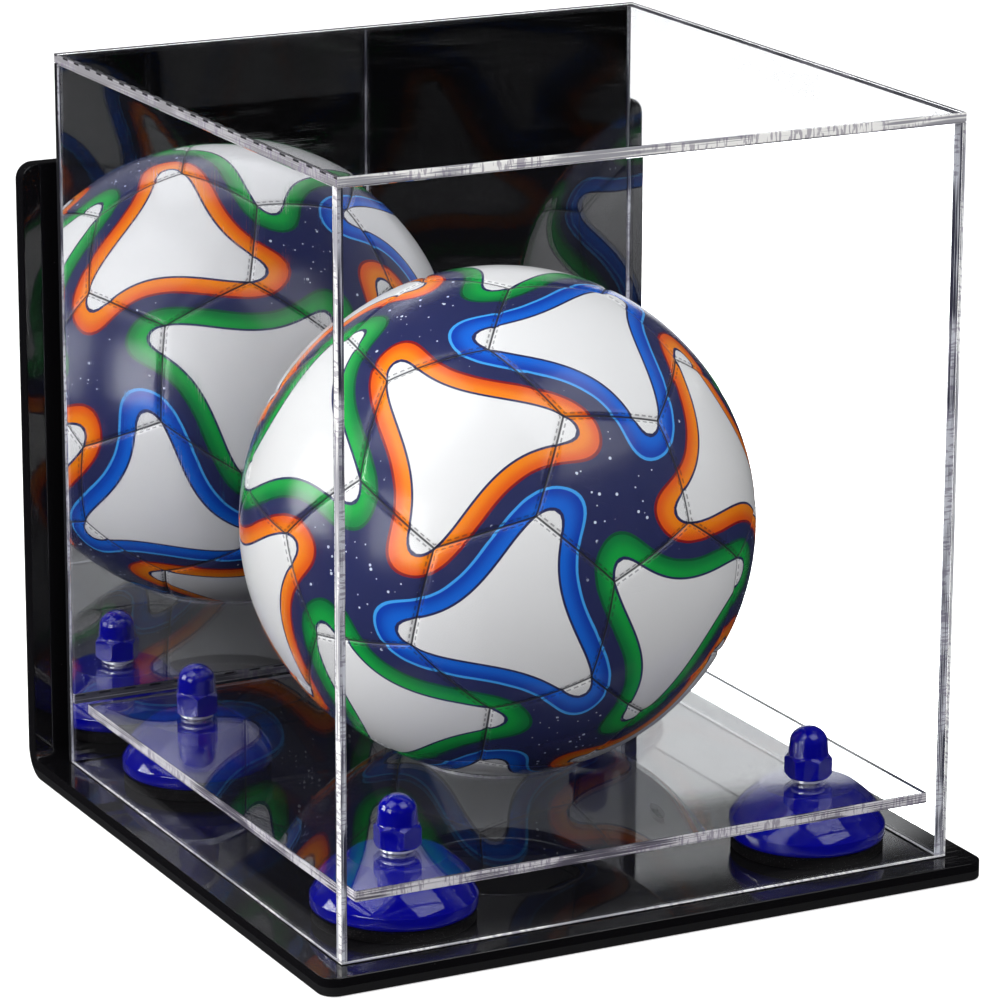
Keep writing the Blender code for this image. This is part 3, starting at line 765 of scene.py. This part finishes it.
def make_cover(clear, edges, mirror):
    """Four clear panels and the mirror. The top one lies on the others."""
    inside = COVER_SIDE - WALL
    panel_top = COVER_TOP - WALL - BOND_GAP
    side_front = COVER_FRONT + WALL + BOND_GAP
    side_back = COVER_BACK - MIRROR - BOND_GAP
    # Painted light and shade of each panel's cut edges, by the side they face
    wall_tones = {FRONT: JOINED, BACK: JOINED, UPPER: SILVER}
    far_tones = {FRONT: JOINED, BACK: JOINED, UPPER: GREY}
    sheets = (
        ("front_panel", "cover_front", (-COVER_SIDE, COVER_FRONT, COVER_BOTTOM),
         (COVER_SIDE, COVER_FRONT + WALL, panel_top), {UPPER: GREY}),
        ("left_panel", "cover_left", (-COVER_SIDE, side_front, COVER_BOTTOM),
         (-inside, side_back, panel_top), wall_tones),
        ("right_panel", "cover_right", (inside, side_front, COVER_BOTTOM),
         (COVER_SIDE, side_back, panel_top), far_tones),
        ("top_panel", "cover_top", (-COVER_SIDE, COVER_FRONT, COVER_TOP - WALL),
         (COVER_SIDE, COVER_BACK, COVER_TOP), {LEFT: SILVER, RIGHT: GREY, BACK: GREY}),
    )
    for name, node, low, high, tones in sheets:
        piece = eased_panel(name, low, high)
        finish(piece, "cover", clear, node, edges=edges, tones=tones)
    piece = eased_panel("mirror_panel", (-COVER_SIDE, COVER_BACK - MIRROR, COVER_BOTTOM),
                        (COVER_SIDE, COVER_BACK, panel_top))
    finish(piece, "cover", mirror, "mirror_back")


# Riser

def round_cutter(name, place, radius, steps):
    """An upright round bar that cuts a hole through the riser plate."""
    bpy.ops.object.select_all(action="DESELECT")
    bpy.ops.mesh.primitive_cylinder_add(vertices=steps, radius=radius, depth=CUTTER_HEIGHT,
                                        location=place)
    cutter = new_piece(name)
    settle(cutter)
    return cutter


def make_riser_plate(clear, edges):
    """Clear plate with a fluted seat hole for the ball and a hole for each bolt."""
    low = Vector((-RISER_SIDE, RISER_FRONT, RISER_BOTTOM))
    high = Vector((RISER_SIDE, RISER_BACK, RISER_TOP))
    middle = (low + high) / 2
    piece = block("riser_shelf", low, high)
    cutter = round_cutter("seat_cutter", middle, SEAT_RADIUS, 2 * SEAT_FLUTES)
    for corner in cutter.data.vertices:
        out = Vector((corner.co.x - middle.x, corner.co.y - middle.y, 0.0))
        if round(math.atan2(out.y, out.x) / math.pi * SEAT_FLUTES) % 2:
            corner.co -= out.normalized() * SEAT_FLUTE_DEPTH
    boolean(piece, cutter)
    for x, y, _ in FOOT_PLACES.values():
        boolean(piece, round_cutter("bolt_cutter", (x, y, middle.z), BOLT_HOLE_RADIUS, 48))
    modify(piece, "BEVEL", width=RISER_EDGE, segments=2, limit_method="ANGLE",
           angle_limit=math.radians(60.0))
    bpy.ops.object.shade_flat()
    # The riser's cut edges get painted light and shade by the side they face
    finish(piece, "riser", clear, "riser_plate", edges=edges,
           tones={FRONT: MIXED, LEFT: MIXED, RIGHT: GREY, BACK: GREY})


def bell_profile():
    """Rounded lip, full shoulder, flat top, and the pocket for the bolt's head."""
    lip = arc((BELL_RADIUS - BELL_LIP, BELL_LIP), BELL_LIP, 0.0, -90.0, 10)
    top_edge = arc((BELL_TOP_RADIUS - BELL_TOP_EDGE, BELL_HEIGHT - BELL_TOP_EDGE), BELL_TOP_EDGE,
                   90.0, 35.0, 5)
    start, end = Vector(top_edge[-1]), Vector(BELL_SHOULDER_END)
    out, up = BELL_SHOULDER_BULGE
    bulge = Vector((start.x + (end.x - start.x) * out, end.y + (start.y - end.y) * up))
    shoulder = []
    for index in range(1, 21):
        t = index / 20
        shoulder.append(tuple(start * (1 - t) ** 2 + bulge * (2 * t * (1 - t)) + end * t ** 2))
    pocket = [(POCKET_RADIUS, 0.0), (POCKET_RADIUS, POCKET_TOP), (BOLT_HOLE_RADIUS, POCKET_TOP)]
    return [(BOLT_HOLE_RADIUS, BELL_HEIGHT)] + top_edge + shoulder + BELL_CREASE + lip + pocket


def pad_profile():
    low = arc((PAD_RADIUS - PAD_EDGE, PAD_EDGE), PAD_EDGE, 0.0, -90.0, 4)
    high = arc((PAD_RADIUS - PAD_EDGE, PAD_HEIGHT - PAD_EDGE), PAD_EDGE, 90.0, 0.0, 4)
    return [(CORE_RADIUS, PAD_HEIGHT)] + high + low + [(CORE_RADIUS, 0.0)]


def washer_profile():
    inside, edge = WASHER_RADIUS - WASHER_EDGE, WASHER_EDGE
    return [(BOLT_HOLE_RADIUS, WASHER_HEIGHT), (inside, WASHER_HEIGHT),
            (WASHER_RADIUS, WASHER_HEIGHT - edge), (WASHER_RADIUS, edge), (inside, 0.0),
            (BOLT_HOLE_RADIUS, 0.0)]


def make_nut():
    """Acorn nut: chamfered hexagon under a domed cap, with a blind bore."""
    bpy.ops.object.select_all(action="DESELECT")
    corner = NUT_FLAT / math.cos(math.pi / 6)
    bpy.ops.mesh.primitive_cylinder_add(vertices=6, radius=corner, depth=NUT_HEX_HEIGHT,
                                        location=(0.0, 0.0, NUT_HEX_HEIGHT / 2))
    piece = new_piece("nut")
    piece.rotation_euler.z = math.radians(30.0)
    settle(piece)
    reach, top = corner + NUT_MARGIN, NUT_HEX_HEIGHT
    envelope = [(CORE_RADIUS, top + NUT_MARGIN), (NUT_FLAT, top + NUT_MARGIN), (NUT_FLAT, top),
                (reach, top - NUT_CHAMFER), (reach, NUT_CHAMFER), (NUT_FLAT, 0.0),
                (NUT_FLAT, -NUT_MARGIN), (CORE_RADIUS, -NUT_MARGIN)]
    boolean(piece, turned("nut_envelope", envelope, 96), "INTERSECT")
    dome = [(0.0003, NUT_HEIGHT)]
    for index in range(1, 15):
        angle = math.pi / 2 * index / 14
        dome.append((NUT_DOME_TOP_RADIUS * math.sin(angle),
                     NUT_SHOULDER + (NUT_HEIGHT - NUT_SHOULDER) * math.cos(angle)))
    dome += [(NUT_DOME_RADIUS, top + 0.0012), (NUT_DOME_RADIUS, top / 2), (CORE_RADIUS, top / 2)]
    boolean(piece, turned("nut_cap", dome, 96), "UNION")
    bore = [(BOLT_HOLE_RADIUS, -NUT_MARGIN), (BOLT_HOLE_RADIUS, NUT_BORE_DEPTH)]
    boolean(piece, turned("nut_bore", bore, 64))
    modify(piece, "BEVEL", width=NUT_EDGE, segments=3, limit_method="ANGLE",
           angle_limit=math.radians(24.0), use_clamp_overlap=True)
    smooth(piece, 30.0)
    return piece


def make_feet(blue, foam, steel):
    """Make one of each piece of a foot, and copy it to the four corners of the riser plate."""
    bell = turned("bell", bell_profile(), 96, closed=True)
    smooth(bell, 40.0)
    pad = turned("pad", pad_profile(), 96)
    smooth(pad, 40.0)
    washer = turned("washer", washer_profile(), 64, closed=True)
    smooth(washer, 25.0)
    kinds = ((bell, "bell", BELL_BOTTOM, "blue_gloss", blue),
             (pad, "pad", PAD_BOTTOM, "black_foam", foam),
             (washer, "washer", WASHER_BOTTOM, "bright_steel", steel),
             (make_nut(), "nut", NUT_BOTTOM, "blue_gloss", blue))
    for corner, (x, y, turn) in FOOT_PLACES.items():
        for piece, kind, height, slot, material in kinds:
            twin = copy_to(piece, f"{kind}_{corner}", (x, y, height), turn)
            finish(twin, "riser", material, f"foot_{kind}_{corner}")
        recolour(f"foot_bolt_{corner}", steel)
    for piece, *_ in kinds:
        bpy.data.objects.remove(piece, do_unlink=True)


# Ball

def unit(vectors):
    return vectors / np.linalg.norm(vectors, axis=-1, keepdims=True)


def panelled_mesh():
    """A fine ball of twelve five-sided and twenty six-sided panels, as flat panels at first."""
    bpy.ops.object.select_all(action="DESELECT")
    bpy.ops.mesh.primitive_ico_sphere_add(subdivisions=1, radius=BALL_RADIUS)
    piece = new_piece("ball_panels")
    first, second = (piece.data.vertices[i].co for i in piece.data.edges[0].vertices)
    third = (first - second).length / 3
    pick_all(piece)
    bpy.ops.mesh.bevel(offset_type="OFFSET", offset=third, segments=1, affect="VERTICES")
    leave_edit()
    level = BALL_TOP_PANEL.rotation_difference(Vector((0.0, 0.0, 1.0))).to_matrix().to_4x4()
    piece.data.transform(level)
    panels = [(np.array(face.center), [np.array(piece.data.vertices[i].co)
                                       for i in face.vertices])
              for face in piece.data.polygons]
    pick_all(piece)
    bpy.ops.mesh.poke()
    bpy.ops.mesh.select_all(action="SELECT")
    bpy.ops.mesh.subdivide(number_cuts=PANEL_ROWS - 1, smoothness=0.0)
    leave_edit()
    return piece, panels


def seam_places(points, panels):
    """For each point of the flat panels: its place from its panel's centre, that centre, and the
    distance and direction from there to the panel's nearest side."""
    middles = np.array([centre for centre, _ in panels])
    outward = unit(middles)
    number = np.abs(points @ outward.T - (middles * outward).sum(1)).argmin(1)
    centres = middles[number]
    flat = points - centres
    apothem = np.zeros(len(points))
    away = np.zeros((len(points), 3))
    for index, (centre, corners) in enumerate(panels):
        mine = np.nonzero(number == index)[0]
        best = np.full(len(mine), -1.0)
        for first, second in zip(corners, corners[1:] + corners[:1]):
            reach = (first + second) / 2 - centre
            side = flat[mine] @ unit(reach)
            closer = side > best
            best[closer] = side[closer]
            apothem[mine[closer]] = np.linalg.norm(reach)
            away[mine[closer]] = unit(reach)
    return flat, centres, apothem, away


def respaced(apothem, distance):
    """Move the even rows of a panel so that most of them lie close to the seam."""
    rows = np.rint(distance / apothem * PANEL_ROWS).astype(int)
    near = np.array(SEAM_ROWS) * MM
    inner_rows = PANEL_ROWS - (len(near) - 1)
    beyond = near[-1] + (apothem - near[-1]) * (rows - (len(near) - 1)) / inner_rows
    return np.where(rows < len(near), near[np.clip(rows, 0, len(near) - 1)], beyond)


def band_swing(reach):
    """How far in mm a band has swung sideways at a distance in mm from its knot."""
    return BAND_SWING * np.sin(2 * math.pi * reach / KNOT_SPACING)


def field_of(directions, knots, fields):
    """The white field of each point, with the swing of the bands between the fields undone."""
    closeness = directions @ knots.T
    knot = knots[closeness.argmax(1)]
    reach = BALL_RADIUS / MM * np.arccos(np.clip(closeness.max(1), -1.0, 1.0))
    turn = band_swing(reach) / np.maximum(reach, 1.0)
    cosine, sine = np.cos(turn)[:, None], np.sin(turn)[:, None]
    along = knot * (knot * directions).sum(1)[:, None]
    straight = along + (directions - along) * cosine + np.cross(knot, directions) * sine
    return (straight @ fields.T).argmax(1)


def band_field(directions, knots):
    """Distance in mm outside the printed network of curved bands that joins the knots."""
    steps = np.linspace(-1.0, 1.0, BAND_SAMPLES)
    bands = []
    for first in range(len(knots)):
        for second in range(first + 1, len(knots)):
            start, end = knots[first], knots[second]
            if start @ end < NEIGHBOUR_KNOTS:
                continue
            sideways = unit(np.cross(start, end))
            turn = math.acos(start @ end)
            share = ((steps + 1) / 2)[:, None]
            points = unit(np.sin((1 - share) * turn) * start + np.sin(share * turn) * end)
            swing = -np.tan(band_swing((steps + 1) / 2 * KNOT_SPACING) / (BALL_RADIUS / MM))
            bands.append(unit(points + swing[:, None] * sideways))
    width = BAND_HALF_WIDTH + (KNOT_HALF_WIDTH - BAND_HALF_WIDTH) * np.abs(steps) ** 3
    total = np.zeros(len(directions))
    for points in bands:
        for start in range(0, len(directions), 4000):
            part = slice(start, start + 4000)
            cosine = np.clip(directions[part] @ points.T, -1.0, 1.0)
            reach = (BALL_RADIUS / MM * np.arccos(cosine) - width).min(1)
            total[part] += np.exp(-np.maximum(reach, -40.0) / BAND_BLEND)
    return -BAND_BLEND * np.log(np.maximum(total, 1e-30))


def three_palettes(centres):
    """Give each white field one of three ribbon colours, unlike those of its neighbours."""
    near = [np.argsort(-(centres @ own))[1:4] for own in centres]
    chosen = [-1] * len(centres)

    def fill(index):
        if index == len(centres):
            return True
        for colour in range(3):
            if all(chosen[other] != colour for other in near[index]):
                chosen[index] = colour
                if fill(index + 1):
                    return True
        chosen[index] = -1
        return False

    fill(0)
    return np.array(chosen)


def add_numbers(mesh, name, values):
    attribute = mesh.attributes.new(name, "FLOAT", "POINT")
    attribute.data.foreach_set("value", np.asarray(values, np.float32))


def shape_panels(mesh, panels):
    """Round the flat panels into a ball with sunken seams, and store what the print needs."""
    points = np.zeros(len(mesh.vertices) * 3)
    mesh.vertices.foreach_get("co", points)
    flat, centres, apothem, away = seam_places(points.reshape(-1, 3), panels)
    side = (flat * away).sum(1)
    spaced = respaced(apothem, np.clip(apothem - side, 0.0, None))
    grow = np.where(side > 1e-9, (apothem - spaced) / np.maximum(side, 1e-9), 1.0)
    flat = flat * grow[:, None]
    along = np.linalg.norm(flat - away * (flat * away).sum(1)[:, None], axis=1)
    directions = unit(centres + flat)
    across = spaced / MM
    dip = SEAM_DEPTH * np.exp(-(across / SEAM_REACH) ** 1.3)
    finished = directions * (BALL_RADIUS - dip * MM)[:, None]
    mesh.vertices.foreach_set("co", finished.ravel())
    mesh.update()
    knots, fields = (unit(np.array([centre for centre, corners in panels
                                    if len(corners) == sides])) for sides in (5, 6))
    palette = three_palettes(fields)[field_of(directions, knots, fields)]
    add_numbers(mesh, "print_reach", band_field(directions, knots))
    add_numbers(mesh, "print_palette", (palette + 0.5) / 3.0)
    add_numbers(mesh, "seam_across", across)
    add_numbers(mesh, "seam_along", along / MM)


def open_edges(mesh):
    """Edges that have a face on one side only."""
    count = {}
    for face in mesh.polygons:
        for key in face.edge_keys:
            count[key] = count.get(key, 0) + 1
    return [key for key, faces in count.items() if faces == 1]


def cut_valve_hole(piece):
    """Open the top panel over the valve, and make the opening round."""
    pick(piece, "FACE", lambda face: BALL_RADIUS * math.acos(
        min(1.0, face.center.normalized().z)) < VALVE_HOLE * 0.9)
    bpy.ops.mesh.delete(type="FACE")
    leave_edit()
    rim_height = math.sqrt(BALL_RADIUS ** 2 - VALVE_HOLE ** 2)
    for index in {i for edge in open_edges(piece.data) for i in edge}:
        corner = piece.data.vertices[index]
        out = Vector((corner.co.x, corner.co.y, 0.0)).normalized() * VALVE_HOLE
        corner.co = (out.x, out.y, rim_height)


def make_ball(panels_material, rubber):
    piece, panels = panelled_mesh()
    shape_panels(piece.data, panels)
    cut_valve_hole(piece)
    modify(piece, "SOLIDIFY", thickness=CASING_THICKNESS, offset=-1.0)
    piece.data.transform(Matrix.Translation(BALL_CENTRE) @ BALL_TURN.to_matrix().to_4x4())
    smooth(piece, 60.0)
    finish(piece, "ball", panels_material, "ball_casing")
    for node in ("ball_bladder", "ball_valve"):
        recolour(node, rubber)


# Stage, lights and camera

def mirrored(graph, path, times=1):
    """1 for rays that have met gloss or the mirror at least this many times."""
    return graph.step(path["Glossy Depth"], times - 0.5, 0.1)


def seen_directly(graph, path):
    """1 for what the camera sees, straight or by gloss, mirror and glass, and 0 for light that
    falls on something matt."""
    by_gloss = graph.math("MAXIMUM", path["Is Glossy Ray"], path["Is Transmission Ray"])
    return graph.times(graph.math("MAXIMUM", path["Is Camera Ray"], by_gloss),
                       graph.math("LESS_THAN", path["Diffuse Depth"], 0.5))


def surround_colour(graph, path, direction):
    """What gloss and mirror see: a dark room with a bright wall above the front."""
    wall = graph.between(graph.part(direction, "Z"), (0.10, 0.07), (0.62, 0.22))
    level = graph.plus(graph.times(wall, graph.blend(mirrored(graph, path, 2), 0.02, 0.55)), 0.006)
    warm = graph.times(level, 0.97)
    return graph.add("ShaderNodeCombineColor", {0: warm, 1: warm, 2: level})


def make_world():
    world = bpy.data.worlds.new("studio")
    bpy.context.scene.world = world
    world.use_nodes = True
    graph = Graph(world.node_tree)
    path = graph.node("ShaderNodeLightPath").outputs
    direction = graph.add("ShaderNodeTexCoord", output="Generated")
    white = graph.blend(path["Is Transmission Ray"], 1.0, THROUGH_LEVEL)
    picture = graph.mix(mirrored(graph, path), white, surround_colour(graph, path, direction))
    colour = graph.mix(seen_directly(graph, path), (AMBIENT, AMBIENT, AMBIENT * 1.01), picture)
    background = graph.add("ShaderNodeBackground", {"Color": colour, "Strength": 1.0})
    graph.node("ShaderNodeOutputWorld", {"Surface": background})


def make_floor():
    """White to the camera, grey to the light that falls on the case, and dark in the gloss."""
    bpy.ops.object.select_all(action="DESELECT")
    bpy.ops.mesh.primitive_plane_add(size=FLOOR_SIZE, location=(0.0, 0.0, -FLOOR_DROP))
    floor = new_piece("floor")
    settle(floor)
    material, graph = new_material("pale floor")
    path = graph.node("ShaderNodeLightPath").outputs
    seen = seen_directly(graph, path)
    matt = graph.add("ShaderNodeBsdfDiffuse", {"Color": (0.80, 0.80, 0.80)})
    glow = graph.add("ShaderNodeEmission", {"Color": (1.0, 1.0, 1.0), "Strength": graph.blend(
        path["Is Transmission Ray"], FLOOR_GLOW, THROUGH_LEVEL)})
    lit = graph.add("ShaderNodeAddShader", {0: matt, 1: glow})
    shaded = graph.add("ShaderNodeBsdfDiffuse", {"Color": (0.28, 0.27, 0.27)})
    plain = graph.add("ShaderNodeMixShader", {0: seen, 1: shaded, 2: lit})
    distance = graph.add("ShaderNodeVectorMath", {0: place_of(graph)}, output="Value",
                         operation="LENGTH")
    grey = graph.math("MULTIPLY_ADD", graph.fall(distance, 0.42, 0.22), 0.012, 0.004)
    dim = graph.add("ShaderNodeEmission", {"Color": (0.95, 0.93, 1.0), "Strength": grey})
    in_gloss = graph.times(seen, mirrored(graph, path))
    output(graph, graph.add("ShaderNodeMixShader", {0: in_gloss, 1: plain, 2: dim}))
    floor.data.materials.append(material)


def make_backdrop_glow():
    """The lit lower part of the backdrop, which gloss and mirror show but the camera doesn't."""
    bpy.ops.object.select_all(action="DESELECT")
    bpy.ops.mesh.primitive_plane_add(size=1.0, location=CARD_PLACE)
    card = new_piece("backdrop_glow")
    card.scale = CARD_SIZE
    card.rotation_euler.x = math.radians(90.0)
    settle(card)
    material, graph = new_material("lit backdrop")
    path = graph.node("ShaderNodeLightPath").outputs
    place = place_of(graph)
    level = graph.times(graph.fall(graph.part(place, "Z"), 0.459, 0.013),
                        graph.between(graph.part(place, "X"), (0.30, 0.08), (0.83, 0.045)),
                        graph.blend(mirrored(graph, path, 2), 1.7, 0.35))
    strength = graph.blend(mirrored(graph, path), THROUGH_LEVEL, level)
    output(graph, graph.add("ShaderNodeEmission", {"Color": (0.98, 0.98, 1.0),
                                                   "Strength": strength}))
    card.data.materials.append(material)
    card.visible_camera = False
    card.visible_diffuse = False
    card.visible_shadow = False


def make_lights():
    for name, (place, side, power, colour, in_gloss) in LAMPS.items():
        data = bpy.data.lights.new(name, "AREA")
        data.size = side
        data.energy = power
        data.color = colour
        lamp = new_object(name, data)
        lamp.location = place
        lamp.rotation_euler = (LAMP_TARGET - Vector(place)).to_track_quat("-Z", "Y").to_euler()
        lamp.visible_glossy = in_gloss


def make_camera():
    data = bpy.data.cameras.new("camera")
    data.lens = CAMERA_LENS
    data.sensor_width = 36.0
    data.clip_end = 100.0
    camera = new_object("camera", data)
    level = math.cos(CAMERA_PITCH)
    forward = Vector((math.sin(CAMERA_YAW) * level, math.cos(CAMERA_YAW) * level,
                      -math.sin(CAMERA_PITCH)))
    right = Vector((math.cos(CAMERA_YAW), -math.sin(CAMERA_YAW), 0.0))
    up = right.cross(forward)
    cosine, sine = math.cos(CAMERA_ROLL), math.sin(CAMERA_ROLL)
    turn = Matrix((cosine * right + sine * up, cosine * up - sine * right, -forward)).transposed()
    camera.matrix_world = Matrix.Translation(CAMERA_PLACE) @ turn.to_4x4()
    bpy.context.scene.camera = camera


bpy.context.scene.view_settings.view_transform = "Standard"
make_camera()
make_world()
make_floor()
make_backdrop_glow()
make_lights()

make_bent_sheet(make_black_acrylic())
CLEAR_ACRYLIC = make_clear_acrylic()
CUT_EDGE = make_cut_edge()
make_cover(CLEAR_ACRYLIC, CUT_EDGE, make_mirror())
make_riser_plate(CLEAR_ACRYLIC, CUT_EDGE)
make_feet(make_blue_gloss(), make_foam(), make_steel())
make_ball(make_ball_panels(), make_rubber())
